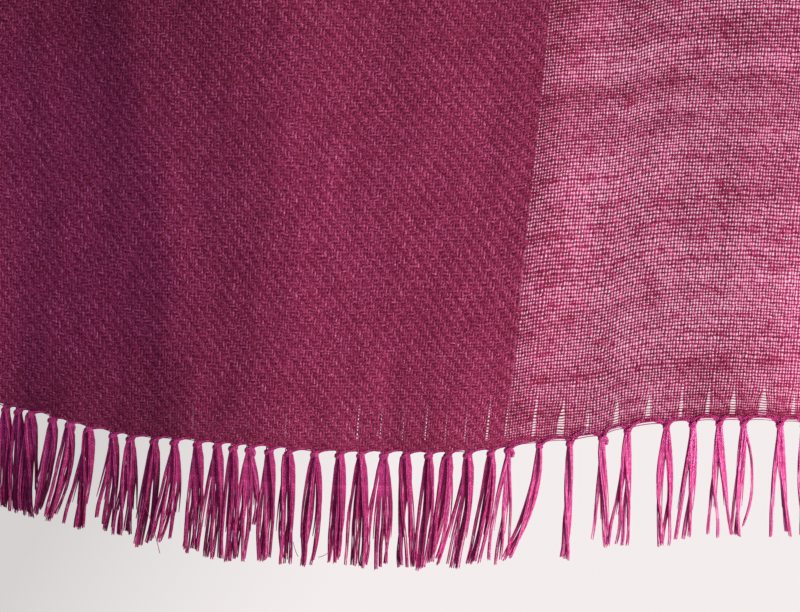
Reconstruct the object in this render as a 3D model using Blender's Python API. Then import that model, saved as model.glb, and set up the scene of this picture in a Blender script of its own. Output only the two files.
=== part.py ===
"""A wool stole folded lengthwise and hung over a plain wooden rail, with knotted fringes at both ends.

Metres, +Z up. The origin is the centre of the rail, the rail runs along X, and the long fall faces -Y.
"""

import math
from collections import namedtuple

import bmesh
import bpy
from mathutils import Vector

# The cloth, laid flat
STOLE_WIDTH = 0.750
STOLE_LENGTH = 2.000
CLOTH = 0.0012

# How it hangs: the front is the wide outer layer, the rest is turned behind it at the lengthwise fold
FRONT_WIDTH = 0.460
FOLD_ALLOWANCE = 0.007
RETURN_WIDTH = STOLE_WIDTH - FRONT_WIDTH - FOLD_ALLOWANCE
FRONT_DROP = 1.450
SEAM = 0.0003
FOLD_SEAM = 0.0008

# The rail
RAIL_RADIUS = 0.0125
RAIL_LENGTH = 0.560
RAIL_SIDES = 32
RAIL_CHAMFER = 0.0015
RAIL_SEAT = 0.0006

# Air between the outer layer and the return: more at the fold, less where the knots draw them together
LAYER_AIR = 0.0015
FOLD_SWELL = 0.0040
SWELL_REACH = 0.030
KNOT_PULL = 0.050
AIR_AT_KNOTS = 0.30
STEP_DOWN = 0.030

BACK_DROP = STOLE_LENGTH - FRONT_DROP - math.pi * RAIL_RADIUS
FOLD_X = -FRONT_WIDTH / 2

# Towards its hem the front leans to the fold side, all of it but the strip beside the fold
LEAN_SLOPE = math.tan(math.radians(5.8))
LEAN_FULL_TO = 0.200
LEAN_ENDS_AT = 0.450
LEAN_FREE_FROM = 0.050
LEAN_FREE_TO = 0.300

# Height of the front hem above its lowest point, in millimetres across the flat cloth from the fold
HemRow = namedtuple("HemRow", "across rise")
HEM = [
    HemRow(0, 24.0),
    HemRow(18, 20.7),
    HemRow(37, 17.0),
    HemRow(56, 12.0),
    HemRow(80, 7.4),
    HemRow(104, 6.0),
    HemRow(137, 3.4),
    HemRow(173, 0.9),
    HemRow(227, 0.0),
    HemRow(271, 0.5),
    HemRow(295, 4.1),
    HemRow(322, 6.4),
    HemRow(336, 10.6),
    HemRow(355, 13.3),
    HemRow(387, 14.7),
    HemRow(414, 13.8),
    HemRow(447, 12.0),
    HemRow(460, 11.4),
]

# Soft folds of the front fall, in millimetres: where each crosses the hem, how far it drifts across in a
# metre of height, its half width, and how far it stands out (or in, when negative) at the hem
FoldRow = namedtuple("FoldRow", "across drift half_width depth")
FRONT_FOLDS = [
    FoldRow(0, 0, 55, -13.0),
    FoldRow(108, -110, 15, 1.8),
    FoldRow(150, -40, 60, 7.0),
    FoldRow(239, -10, 50, 2.0),
    FoldRow(400, 50, 45, 2.2),
    FoldRow(460, 40, 30, -7.0),
]
BACK_FOLDS = [
    FoldRow(0, 0, 30, -4.0),
    FoldRow(110, 40, 60, 6.0),
    FoldRow(235, -30, 50, 4.0),
    FoldRow(350, 20, 55, 7.0),
    FoldRow(460, 0, 30, -3.0),
]

# Tassels of the front hem, in millimetres: place along the hung hem from the fold, how far the ends hang
# to the side of the knot, and how far they reach below the hem
TasselRow = namedtuple("TasselRow", "at sway reach")
TASSELS = [
    TasselRow(5.0, 0.0, 46.0),
    TasselRow(11.5, -1.0, 47.0),
    TasselRow(18.4, -0.5, 48.0),
    TasselRow(24.4, -1.8, 50.0),
    TasselRow(30.4, -1.4, 50.0),
    TasselRow(40.9, -8.7, 45.5),
    TasselRow(48.8, -9.2, 47.0),
    TasselRow(58.0, -5.5, 49.0),
    TasselRow(69.5, -4.6, 46.5),
    TasselRow(77.7, -4.1, 47.4),
    TasselRow(88.8, -6.4, 51.0),
    TasselRow(98.4, -6.0, 48.3),
    TasselRow(109.0, -4.1, 52.4),
    TasselRow(118.2, -2.8, 53.8),
    TasselRow(125.6, -3.7, 54.7),
    TasselRow(132.9, -2.8, 53.4),
    TasselRow(142.1, -2.8, 53.0),
    TasselRow(150.9, -1.8, 53.0),
    TasselRow(162.8, -4.6, 54.3),
    TasselRow(174.3, -3.2, 52.0),
    TasselRow(184.0, -2.3, 53.8),
    TasselRow(194.6, -2.3, 55.2),
    TasselRow(204.7, -0.9, 53.4),
    TasselRow(215.3, -4.1, 55.2),
    TasselRow(224.0, -7.8, 51.5),
    TasselRow(233.2, -5.5, 54.3),
    TasselRow(243.8, -7.8, 54.3),
    TasselRow(251.6, -4.1, 54.7),
    TasselRow(265.9, -15.6, 55.7),
    TasselRow(280.1, -1.8, 57.0),
    TasselRow(294.9, 0.0, 53.4),
    TasselRow(306.4, -3.7, 56.6),
    TasselRow(324.3, -1.8, 58.4),
    TasselRow(336.7, -4.6, 55.7),
    TasselRow(349.1, 0.0, 54.7),
    TasselRow(360.2, -3.2, 54.3),
    TasselRow(377.2, 1.8, 53.8),
    TasselRow(388.7, 2.0, 53.0),
    TasselRow(399.7, 0.0, 54.0),
    TasselRow(409.0, -1.0, 53.0),
    TasselRow(419.5, 0.5, 54.0),
]

# Fringe solids
HEM_SEAM = 0.0006
STRIP_HEIGHT = 0.0020
STRIP_DOUBLE = 0.0026
STRIP_SINGLE = 0.0014
NECK_WIDTH = 0.0030
KNOT_WIDTH = 0.0044
KNOT_DEPTH = 0.0034
KNOT_WAIST = 0.0024
KNOT_BASE = 0.0048
STRANDS = 3
STRAND_SIDE = 0.0015
STRAND_GAP = 0.0004
TASSEL_CLEARANCE = 0.0060

# Grids: rows up each stretch and columns across
FRONT_ROWS = (0, 0.02, 0.05, 0.09, 0.14, 0.20, 0.28, 0.38, 0.50, 0.64, 0.82, 1)
BACK_ROWS = (0, 0.25, 0.55, 0.85, 1)
TURN_STEPS = 8
COLUMN_STEP = 0.0165
FOLD_STEPS = 4

WOOL = (0.30, 0.020, 0.090)
WOOD = (0.50, 0.33, 0.18)
MM = 0.001


def smoothstep(low, high, value):
    t = min(max((value - low) / (high - low), 0), 1)
    return t * t * (3 - 2 * t)


def along_table(rows, at):
    """The smooth curve through a table of (place, value) rows, read at a place."""
    last = len(rows) - 1
    i = max(n for n in range(last) if n == 0 or rows[n][0] <= at)
    low, high = rows[i], rows[i + 1]
    before, after = rows[max(i - 1, 0)], rows[min(i + 2, last)]
    span = high[0] - low[0]
    t = (at - low[0]) / span
    slope_low = (high[1] - before[1]) / (high[0] - before[0]) * span
    slope_high = (after[1] - low[1]) / (after[0] - low[0]) * span
    rising = t * t * (3 - 2 * t)
    leaving = t * (1 - t) ** 2 * slope_low
    arriving = t * t * (t - 1) * slope_high
    return low[1] + (high[1] - low[1]) * rising + leaving + arriving


def lean(height):
    """How far the free part of the front lies towards the fold side, at a height above the lowest hem."""
    easing = LEAN_ENDS_AT - LEAN_FULL_TO
    t = min(max((height - LEAN_FULL_TO) / easing, 0), 1)
    eased = easing * (0.5 - (t - t**3 + t**4 / 2))
    straight = max(LEAN_FULL_TO - height, 0)
    return LEAN_SLOPE * (straight + eased)


def hung_across(across, height):
    """Distance from the fold, as hung, of the place that lies this far across the flat cloth."""
    return across - lean(height) * smoothstep(LEAN_FREE_FROM, LEAN_FREE_TO, across)


def flat_across(hung, height):
    """The place across the flat cloth that hangs this far from the fold."""
    low, high = 0, FRONT_WIDTH
    for _ in range(40):
        middle = (low + high) / 2
        if hung_across(middle, height) < hung:
            low = middle
        else:
            high = middle
    return (low + high) / 2


def fold_relief(folds, across, height, top):
    """How far the folds move the cloth outwards. They die away towards the rail."""
    relief = 0
    for row in folds:
        centre = (row.across + row.drift * height) * MM
        offset = (across - centre) / (row.half_width * MM)
        relief += row.depth * MM * math.exp(-offset * offset)
    return relief * (1 - smoothstep(0.25 * top, top, height))


def doubled(across):
    """1 where the return lies behind the outer layer, 0 where the outer layer is alone."""
    return 1 - smoothstep(RETURN_WIDTH + 0.004, RETURN_WIDTH + 0.004 + STEP_DOWN, across)


def layer_spacing(across, above_hem):
    """Distance between the middles of the two layers."""
    air = LAYER_AIR + FOLD_SWELL * math.exp(-((across / SWELL_REACH) ** 2))
    drawn = AIR_AT_KNOTS + (1 - AIR_AT_KNOTS) * smoothstep(0, KNOT_PULL, above_hem)
    return CLOTH + air * drawn


def layer_radius(outer_share, across, above_hem):
    """A layer's distance from the rail's axis. outer_share is 1 for the outer layer, 0 for the return."""
    seat = RAIL_RADIUS + RAIL_SEAT + CLOTH / 2
    return seat + outer_share * layer_spacing(across, above_hem) * doubled(across)


def front_hem_rise(across):
    return along_table(HEM, across / MM) * MM


def front_point(outer_share, across, up):
    """A point of the front fall. up is 0 at the hem and 1 at the rail."""
    rise = front_hem_rise(across)
    height = rise + (FRONT_DROP - SEAM - rise) * up
    radius = layer_radius(outer_share, across, height - rise)
    relief = fold_relief(FRONT_FOLDS, across, height, FRONT_DROP)
    return Vector((FOLD_X + hung_across(across, height), -radius - relief, height - FRONT_DROP))


def turn_point(outer_share, across, up):
    """A point of the turn over the rail. up is 0 at the front and 1 at the back."""
    radius = layer_radius(outer_share, across, STOLE_LENGTH)
    angle = math.pi * up
    return Vector((FOLD_X + across, -radius * math.cos(angle), radius * math.sin(angle)))


def back_point(outer_share, across, up):
    """A point of the back fall. up is 0 at its hem and 1 at the rail."""
    height = (BACK_DROP - SEAM) * up
    radius = layer_radius(outer_share, across, height)
    relief = fold_relief(BACK_FOLDS, across, height, BACK_DROP)
    return Vector((FOLD_X + across, radius + relief, height - BACK_DROP))


def columns(width):
    count = round(width / COLUMN_STEP)
    return [width * i / count for i in range(count + 1)]


def outer_grid(point, rows):
    """Middle of the outer layer, with the lengthwise fold: one list of points for each row."""
    grid = []
    for up in rows:
        outer, inner = point(1, 0, up), point(0, 0, up)
        centre, reach = (outer + inner) / 2, (outer - inner) / 2
        line = []
        for step in range(FOLD_STEPS):
            angle = math.pi * (1 - step / FOLD_STEPS)
            around = centre + reach * math.cos(angle)
            around.x -= reach.length * math.sin(angle)
            line.append(around)
        line += [point(1, across, up) for across in columns(FRONT_WIDTH)]
        grid.append(line)
    return grid


def return_grid(point, rows):
    """Middle of the return layer, from just beside the fold to its selvedge."""
    places = [max(across, FOLD_SEAM) for across in columns(RETURN_WIDTH)]
    return [[point(0, across, up) for across in places] for up in rows]


def grid_normal(grid, i, j):
    above, below = grid[min(i + 1, len(grid) - 1)][j], grid[max(i - 1, 0)][j]
    left, right = grid[i][max(j - 1, 0)], grid[i][min(j + 1, len(grid[i]) - 1)]
    return (right - left).cross(above - below).normalized()


def add_object(name, bm, colour, roughness):
    bmesh.ops.recalc_face_normals(bm, faces=bm.faces)
    mesh = bpy.data.meshes.new(name)
    bm.to_mesh(mesh)
    bm.free()
    mesh.shade_smooth()
    mesh.set_sharp_from_angle(angle=math.radians(40))
    material = bpy.data.materials.new(name)
    material.use_nodes = True
    shader = material.node_tree.nodes["Principled BSDF"]
    shader.inputs["Base Color"].default_value = (*colour, 1)
    shader.inputs["Roughness"].default_value = roughness
    mesh.materials.append(material)
    made = bpy.data.objects.new(name, mesh)
    bpy.context.scene.collection.objects.link(made)
    return made


def cloth_wall(name, grid):
    """A closed wall, one cloth thick, round a grid of middle points."""
    bm = bmesh.new()
    faces_out, faces_in = [], []
    for i, line in enumerate(grid):
        normals = [grid_normal(grid, i, j) * (CLOTH / 2) for j in range(len(line))]
        faces_out.append([bm.verts.new(p + n) for p, n in zip(line, normals)])
        faces_in.append([bm.verts.new(p - n) for p, n in zip(line, normals)])
    rows, width = len(grid), len(grid[0])
    for i in range(rows - 1):
        for j in range(width - 1):
            for side in (faces_out, faces_in):
                bm.faces.new((side[i][j], side[i][j + 1], side[i + 1][j + 1], side[i + 1][j]))
        for j in (0, width - 1):
            bm.faces.new((faces_out[i][j], faces_out[i + 1][j], faces_in[i + 1][j], faces_in[i][j]))
    for i in (0, rows - 1):
        for j in range(width - 1):
            bm.faces.new((faces_out[i][j], faces_out[i][j + 1], faces_in[i][j + 1], faces_in[i][j]))
    return add_object(name, bm, WOOL, 0.9)


def slab(bm, x_places, y_middle, depth, z):
    """A ring of points: a front row and a back row, left to right."""
    return [
        [bm.verts.new((x, y_middle + side * depth / 2, z)) for x in x_places] for side in (-1, 1)
    ]


def join_rings(bm, upper, lower):
    """Side faces between two rings. The rings may have different numbers of points in their rows."""
    for row_upper, row_lower in zip(upper, lower):
        bm.faces.new([*row_upper, *reversed(row_lower)])
    for end in (0, -1):
        bm.faces.new((upper[0][end], upper[1][end], lower[1][end], lower[0][end]))


def close_ring(bm, ring):
    bm.faces.new([*ring[0], *reversed(ring[1])])


def strand_edges(centre, side, gap):
    """Left and right edges of each strand of a tassel, side by side about its centre."""
    pitch = side + gap
    first = centre - pitch * (STRANDS - 1) / 2
    return [(first + pitch * i - side / 2, first + pitch * i + side / 2) for i in range(STRANDS)]


def tassel(bm, neck, place, foot_x, foot_z, levels):
    """A knot below its neck ring, and its strands down to their ends."""
    top = place.z - STRIP_HEIGHT
    waist_edges = (place.x - KNOT_WIDTH / 2, place.x + KNOT_WIDTH / 2)
    waist = slab(bm, waist_edges, place.y, KNOT_DEPTH, top - KNOT_WAIST)
    join_rings(bm, neck, waist)
    roots = strand_edges(place.x, STRAND_SIDE, STRAND_GAP)
    base_edges = [x for pair in roots for x in pair]
    base = slab(bm, base_edges, place.y, STRAND_SIDE, top - KNOT_BASE)
    join_rings(bm, waist, base)
    for i in range(1, 2 * STRANDS - 1, 2):
        close_ring(bm, [row[i : i + 2] for row in base])
    ends = strand_edges(foot_x, STRAND_SIDE, 1.5 * STRAND_GAP)
    for i, (root, end) in enumerate(zip(roots, ends)):
        ring = [row[2 * i : 2 * i + 2] for row in base]
        uneven = (0, 1.2, -0.8)[i] * MM
        for level in range(1, levels + 1):
            share = level / levels
            z = (top - KNOT_BASE) * (1 - share) + (foot_z + uneven) * share
            edges = [a + (b - a) * share**1.5 for a, b in zip(root, end)]
            lower = slab(bm, edges, place.y, STRAND_SIDE, z)
            join_rings(bm, ring, lower)
            ring = lower
        close_ring(bm, ring)


def fringe(name, hem_place, stretch, levels):
    """A narrow strip below the hem with its tassels. hem_place gives a point of the hem and its thickness."""
    bm = bmesh.new()
    stations = [KNOT_WIDTH / 4]
    for row in TASSELS:
        middle = row.at * MM * stretch
        stations += [middle - NECK_WIDTH / 2, middle + NECK_WIDTH / 2]
    sections = []
    for at in stations:
        place, depth = hem_place(at)
        sections.append([slab(bm, [place.x], place.y, depth, place.z - down) for down in (0, STRIP_HEIGHT)])
    for i in range(len(sections) - 1):
        (top_a, low_a), (top_b, low_b) = sections[i], sections[i + 1]
        bm.faces.new((top_a[0][0], top_b[0][0], top_b[1][0], top_a[1][0]))
        for side in (0, 1):
            bm.faces.new((top_a[side][0], top_b[side][0], low_b[side][0], low_a[side][0]))
        if i % 2 == 0:
            bm.faces.new((low_a[0][0], low_b[0][0], low_b[1][0], low_a[1][0]))
    for top, low in (sections[0], sections[-1]):
        bm.faces.new((top[0][0], top[1][0], low[1][0], low[0][0]))
    clear_of = -1
    for i, row in enumerate(TASSELS):
        place, _ = hem_place(row.at * MM * stretch)
        low_a, low_b = sections[1 + 2 * i][1], sections[2 + 2 * i][1]
        neck = [[low_a[side][0], low_b[side][0]] for side in (0, 1)]
        foot_x = max(place.x + row.sway * MM, clear_of)
        clear_of = foot_x + TASSEL_CLEARANCE
        tassel(bm, neck, place, foot_x, place.z - row.reach * MM, levels)
    return add_object(name, bm, WOOL, 0.9)


def hem_section(point, across):
    """Middle of the cloth at the hem, both layers taken together, and how thick the strip below it is."""
    share = doubled(across)
    place = point(0.5 if share > 0 else 0, across, 0)
    place.z -= HEM_SEAM
    return place, STRIP_SINGLE + (STRIP_DOUBLE - STRIP_SINGLE) * share


def front_hem(at):
    return hem_section(front_point, flat_across(at, front_hem_rise(at)))


def back_hem(at):
    return hem_section(back_point, at)


def rail():
    bm = bmesh.new()
    half, inner = RAIL_LENGTH / 2, RAIL_RADIUS - RAIL_CHAMFER
    profile = [
        (-half, inner),
        (-half + RAIL_CHAMFER, RAIL_RADIUS),
        (half - RAIL_CHAMFER, RAIL_RADIUS),
        (half, inner),
    ]
    rings = []
    for x, radius in profile:
        angles = [2 * math.pi * (i + 0.5) / RAIL_SIDES for i in range(RAIL_SIDES)]
        rings.append([bm.verts.new((x, radius * math.cos(a), radius * math.sin(a))) for a in angles])
    for ring, following in zip(rings, rings[1:]):
        for i in range(RAIL_SIDES):
            j = (i + 1) % RAIL_SIDES
            bm.faces.new((ring[i], ring[j], following[j], following[i]))
    bm.faces.new(rings[0])
    bm.faces.new(rings[-1])
    return add_object("rail", bm, WOOD, 0.55)


def main():
    for old in list(bpy.data.objects):
        bpy.data.objects.remove(old)
    rail()
    turn_rows = [i / TURN_STEPS for i in range(TURN_STEPS + 1)]
    stretches = [
        ("front_fall", "front_return", front_point, FRONT_ROWS),
        ("turn_outer", "turn_return", turn_point, turn_rows),
        ("back_fall", "back_return", back_point, BACK_ROWS),
    ]
    for outer_name, return_name, point, rows in stretches:
        cloth_wall(outer_name, outer_grid(point, rows))
        cloth_wall(return_name, return_grid(point, rows))
    fringe("front_fringe", front_hem, 1, 2)
    fringe("back_fringe", back_hem, FRONT_WIDTH / hung_across(FRONT_WIDTH, front_hem_rise(FRONT_WIDTH)), 1)


main()
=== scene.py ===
"""Looks of a sheer wool stole: open hand-woven twill, hung folded over a wooden rail, with knotted fringes.

Metres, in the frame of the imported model: the rail runs along X at the origin and the long fall faces -Y.
"""

import math
import random
from collections import namedtuple

import bpy
import numpy as np
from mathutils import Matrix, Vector, noise


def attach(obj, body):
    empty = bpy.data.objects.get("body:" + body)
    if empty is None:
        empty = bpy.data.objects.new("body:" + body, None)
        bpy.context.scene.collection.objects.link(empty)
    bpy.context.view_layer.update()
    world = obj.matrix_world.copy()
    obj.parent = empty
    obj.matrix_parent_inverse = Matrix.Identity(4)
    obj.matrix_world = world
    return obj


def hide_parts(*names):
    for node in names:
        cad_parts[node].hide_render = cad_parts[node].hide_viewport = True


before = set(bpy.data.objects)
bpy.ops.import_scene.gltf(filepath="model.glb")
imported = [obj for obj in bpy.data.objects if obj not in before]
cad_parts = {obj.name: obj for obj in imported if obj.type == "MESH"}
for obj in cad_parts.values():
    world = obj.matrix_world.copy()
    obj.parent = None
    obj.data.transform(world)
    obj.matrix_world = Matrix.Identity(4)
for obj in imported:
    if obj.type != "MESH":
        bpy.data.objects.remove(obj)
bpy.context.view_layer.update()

MM = 0.001

# The cloth and how it hangs, as in the solids
STOLE_WIDTH = 0.750
STOLE_LENGTH = 2.000
CLOTH = 0.0012
FRONT_WIDTH = 0.460
FOLD_ALLOWANCE = 0.007
RETURN_WIDTH = STOLE_WIDTH - FRONT_WIDTH - FOLD_ALLOWANCE
FRONT_DROP = 1.450
FOLD_SEAM = 0.0008
RAIL_RADIUS = 0.0125
RAIL_SEAT = 0.0006
LAYER_AIR = 0.0015
FOLD_SWELL = 0.0040
SWELL_REACH = 0.030
KNOT_PULL = 0.050
AIR_AT_KNOTS = 0.30
STEP_FROM = RETURN_WIDTH + 0.004
STEP_DOWN = 0.030
TURN_LENGTH = math.pi * RAIL_RADIUS
BACK_DROP = STOLE_LENGTH - FRONT_DROP - TURN_LENGTH
FOLD_X = -FRONT_WIDTH / 2
LEAN_SLOPE = math.tan(math.radians(5.8))
LEAN_FULL_TO = 0.200
LEAN_ENDS_AT = 0.450
LEAN_FREE_FROM = 0.050
LEAN_FREE_TO = 0.300

# Height of the front hem above its lowest point, in millimetres across the flat cloth from the fold
HemRow = namedtuple("HemRow", "across rise")
HEM = [
    HemRow(*row)
    for row in (
        (0, 24.0), (18, 20.7), (37, 17.0), (56, 12.0), (80, 7.4), (104, 6.0),
        (137, 3.4), (173, 0.9), (227, 0.0), (271, 0.5), (295, 4.1), (322, 6.4),
        (336, 10.6), (355, 13.3), (387, 14.7), (414, 13.8), (447, 12.0), (460, 11.4),
    )
]

# Soft folds, in millimetres: place across at the hem, drift across in a metre of height, half width, depth
FoldRow = namedtuple("FoldRow", "across drift half_width depth")
FRONT_FOLDS = [
    FoldRow(0, 0, 55, -13.0),
    FoldRow(47, -70, 18, 1.1),
    FoldRow(112, -180, 16, 1.3),
    FoldRow(150, -40, 60, 7.0),
    FoldRow(239, -10, 50, 2.0),
    FoldRow(400, 50, 45, 2.2),
    FoldRow(460, 40, 30, -7.0),
]
BACK_FOLDS = [
    FoldRow(0, 0, 30, -4.0),
    FoldRow(110, 40, 60, 6.0),
    FoldRow(235, -30, 50, 4.0),
    FoldRow(350, 20, 55, 7.0),
    FoldRow(460, 0, 30, -3.0),
]

# Tassels, in millimetres: place along the hung hem from the fold, how far the ends hang aside of the knot,
# and how far they reach below the hem
TasselRow = namedtuple("TasselRow", "at sway reach")
TASSELS = [
    TasselRow(*row)
    for row in (
        (5.0, 0.0, 46.0), (11.5, -1.0, 47.0), (18.4, -0.5, 48.0), (24.4, -1.8, 50.0),
        (30.4, -1.4, 50.0), (40.9, -8.7, 45.5), (48.8, -9.2, 47.0), (58.0, -5.5, 49.0),
        (69.5, -4.6, 46.5), (77.7, -4.1, 47.4), (88.8, -6.4, 51.0), (98.4, -6.0, 48.3),
        (109.0, -4.1, 52.4), (118.2, -2.8, 53.8), (125.6, -3.7, 54.7), (132.9, -2.8, 53.4),
        (142.1, -2.8, 53.0), (150.9, -1.8, 53.0), (162.8, -4.6, 54.3), (174.3, -3.2, 52.0),
        (184.0, -2.3, 53.8), (194.6, -2.3, 55.2), (204.7, -0.9, 53.4), (215.3, -4.1, 55.2),
        (224.0, -7.8, 51.5), (233.2, -5.5, 54.3), (243.8, -7.8, 54.3), (251.6, -4.1, 54.7),
        (265.9, -15.6, 55.7), (280.1, -1.8, 57.0), (294.9, 0.0, 53.4), (306.4, -3.7, 56.6),
        (324.3, -1.8, 58.4), (336.7, -4.6, 55.7), (349.1, 0.0, 54.7), (360.2, -3.2, 54.3),
        (377.2, 1.8, 53.8), (388.7, 2.0, 53.0), (399.7, 0.0, 54.0), (409.0, -1.0, 53.0),
        (419.5, 0.5, 54.0),
    )
]

# Bundles that part from a tassel's own line: each one's share of the yarns, and in millimetres how far it
# bulges aside at half length, how far aside it ends, and how much shorter it is
Bundle = namedtuple("Bundle", "share bulge end shorter")
BUNDLES = {
    3: [(0.55, -0.9, -1.0, 0.0), (0.45, 1.0, 1.6, 1.5)],
    4: [(0.25, -1.4, -2.4, 2.0), (0.75, 0.4, 0.6, 0.0)],
    6: [(0.55, -0.8, -1.0, 0.0), (0.45, 1.8, 1.6, 1.0)],
    7: [(0.14, -1.8, -6.0, 1.0), (0.86, 0.2, 0.6, 0.0)],
    8: [(0.22, -0.8, -5.0, 5.5), (0.22, -0.2, -1.8, 3.5), (0.56, 0.9, 2.3, 0.0)],
    9: [(0.60, -1.0, -0.6, 0.0), (0.40, 1.3, 4.8, 0.5)],
    10: [(0.50, -1.2, -2.8, 0.0), (0.50, 1.2, 2.4, 0.8)],
    11: [(0.25, -1.2, -4.6, 1.0), (0.45, 0.2, -0.6, 0.0), (0.30, 1.8, 5.2, 2.0)],
    13: [(0.28, -1.6, -4.6, 1.0), (0.72, 0.5, 0.6, 0.0)],
    15: [(0.40, -1.2, -3.0, 0.5), (0.38, 0.0, 1.2, 0.0), (0.22, 2.6, 5.0, 16.0)],
    17: [(0.18, -1.8, -3.7, 2.0), (0.82, 0.4, 0.4, 0.0)],
    18: [(0.50, -2.0, -0.6, 0.0), (0.50, 2.2, 0.8, 1.0)],
    20: [(0.45, -1.8, -1.8, 0.6), (0.55, 1.4, 1.5, 0.0)],
    21: [(0.34, -2.2, -3.2, 0.5), (0.36, 0.0, 0.0, 0.0), (0.30, 2.2, 3.0, 1.5)],
    22: [(0.84, -0.3, -0.4, 0.0), (0.16, 1.6, 4.1, 0.6)],
    24: [(0.82, -0.4, -0.4, 0.0), (0.18, 2.0, 4.4, 1.5)],
    25: [(0.16, -1.6, -6.4, 0.0), (0.12, -0.6, -4.2, 1.0), (0.72, 0.6, 0.6, 0.0)],
    26: [(0.55, -0.8, -1.2, 0.0), (0.45, 1.0, 1.4, 0.8)],
    27: [(0.30, -2.6, -4.6, 1.8), (0.50, 0.2, 0.0, 0.0), (0.20, 1.2, 4.0, 4.0)],
    28: [(0.72, 0.4, -0.6, 0.0), (0.28, 2.2, 2.2, 1.5)],
    29: [(0.70, -0.6, 0.6, 0.0), (0.30, 1.0, -2.2, 1.0)],
    30: [(0.22, -0.6, -4.6, 2.0), (0.55, 0.2, 0.4, 0.0), (0.23, 1.0, 2.8, 1.2)],
    31: [(0.45, -0.8, -4.0, 1.5), (0.55, 0.8, 2.2, 0.0)],
    32: [(0.50, -2.1, -0.9, 0.0), (0.50, 2.0, 1.0, 1.2)],
    33: [(0.36, -1.4, -3.8, 0.4), (0.64, 1.0, 1.6, 0.0)],
    34: [(0.50, -1.2, -3.0, 0.0), (0.50, 0.8, 4.0, 1.0)],
    35: [(0.20, -1.0, -3.6, 1.0), (0.62, -0.2, 0.4, 0.0), (0.18, 4.4, 2.6, 3.0)],
    36: [(0.30, -1.8, -5.8, 0.0), (0.70, 0.6, 0.8, 0.0)],
    37: [(0.45, -1.0, -1.8, 0.0), (0.55, 0.9, 1.2, 0.8)],
}

# Tassels whose knot stands out on the right as a loop
LOOPED_KNOTS = (6, 15, 27, 30)

# How the shells are divided: steps round the lengthwise fold, rows round the rail, and for each fall, in
# millimetres, the step between rows and the height up to which it holds
FOLD_STEPS = 8
TURN_ROWS = 20
FRONT_ROW_STEPS = ((1.6, 40), (4.0, 240), (10.0, FRONT_DROP / MM))
BACK_ROW_STEPS = ((1.6, 24), (6.0, BACK_DROP / MM))

# The weave, in millimetres between one thread and the next. Warps keep their pitch at one height, and draw
# together below it where the front leans.
WARP_PITCH = 1.40
PITCH_HEIGHT = 0.110
WEFT_PITCH = 1.62
RETURN_SLIP = 40.5

# Wefts are beaten close at a hem, and loosely in a band above it: how many more or fewer, and where
BEATEN_ROWS = 3.0
BEATEN_REACH = 6.0
LOOSE_ROWS = 3.4
LOOSE_FROM = 60
LOOSE_TO = 120

# How far the knots draw the warps together, as a share, and how far up that reaches in millimetres
DRAW_DOUBLE = 0.035
DRAW_BY_RETURN_EDGE = 0.055
DRAW_REACH_DOUBLE = 21.0
DRAW_SINGLE = 0.19
DRAW_REACH_SINGLE = 11.5

# The hem dips to each knot and arches between knots, in millimetres
DIP_DOUBLE = -1.7
DIP_SINGLE = -1.3
ARCH_DOUBLE = 1.1
ARCH_SINGLE = 1.2
DIP_REACH = 3.0

# The fringe, in metres
YARN = 0.00036
KNOT_YARN = 1.2 * YARN
HAIR = 0.55 * YARN
YARN_SIDES = 4
NECK_BELOW_HEM = 0.0017
KNOT_HEIGHT = 0.0023
KNOT_HALF_WIDTH = 0.00155
KNOT_HALF_DEPTH = 0.00115
NECK_HALF_WIDTH = 0.00150
YARNS_DOUBLE = 28
YARNS_SINGLE = 17
YARNS_IN_CLUMP = 4.5
CLUMP_RADIUS = 0.00060
GOLDEN_ANGLE = 2.399

# How far a bundle's yarns are lit as one soft form
BUNDLE_SOFTNESS = 0.82

# A lone hair that has sprung out of the fringe, in millimetres from the fold and below the lowest hem
HairRow = namedtuple("HairRow", "start_x start_down end_x end_down sag")
HAIRS = [
    HairRow(174.5, 41.0, 164.5, 48.8, 1.6),
    HairRow(153.0, 41.8, 155.4, 48.5, 1.0),
    HairRow(84.6, 24.0, 92.0, 47.0, -2.0),
]

# Where the return lies behind, a knot's warps come mostly from its right: their edge as a share of the way
EDGE_SHARE_DOUBLE = 0.80

# The picture: its width at the cloth, its middle in the model, and how far off the camera stands
PIXEL = 0.00046
PICTURE_WIDTH = 800 * PIXEL
PICTURE_X = FOLD_X + 439 * PIXEL
PICTURE_Z = -FRONT_DROP + 144 * PIXEL
CAMERA_AWAY = 1.15
SENSOR = 36


def smoothstep(low, high, value):
    t = min(max((value - low) / (high - low), 0), 1)
    return t * t * (3 - 2 * t)


def along_table(rows, at):
    """The smooth curve through a table of (place, value) rows, read at a place."""
    last = len(rows) - 1
    i = max(n for n in range(last) if n == 0 or rows[n][0] <= at)
    low, high = rows[i], rows[i + 1]
    before, after = rows[max(i - 1, 0)], rows[min(i + 2, last)]
    span = high[0] - low[0]
    t = (at - low[0]) / span
    slope_low = (high[1] - before[1]) / (high[0] - before[0]) * span
    slope_high = (after[1] - low[1]) / (after[0] - low[0]) * span
    rising = t * t * (3 - 2 * t)
    leaving = t * (1 - t) ** 2 * slope_low
    arriving = t * t * (t - 1) * slope_high
    return low[1] + (high[1] - low[1]) * rising + leaving + arriving


def lean(height):
    """How far the free part of the front lies towards the fold side, at a height above the lowest hem."""
    easing = LEAN_ENDS_AT - LEAN_FULL_TO
    t = min(max((height - LEAN_FULL_TO) / easing, 0), 1)
    eased = easing * (0.5 - (t - t**3 + t**4 / 2))
    straight = max(LEAN_FULL_TO - height, 0)
    return LEAN_SLOPE * (straight + eased)


def hung_across(across, height):
    """Distance from the fold, as hung, of the place that lies this far across the flat cloth."""
    return across - lean(height) * smoothstep(LEAN_FREE_FROM, LEAN_FREE_TO, across)


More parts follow.
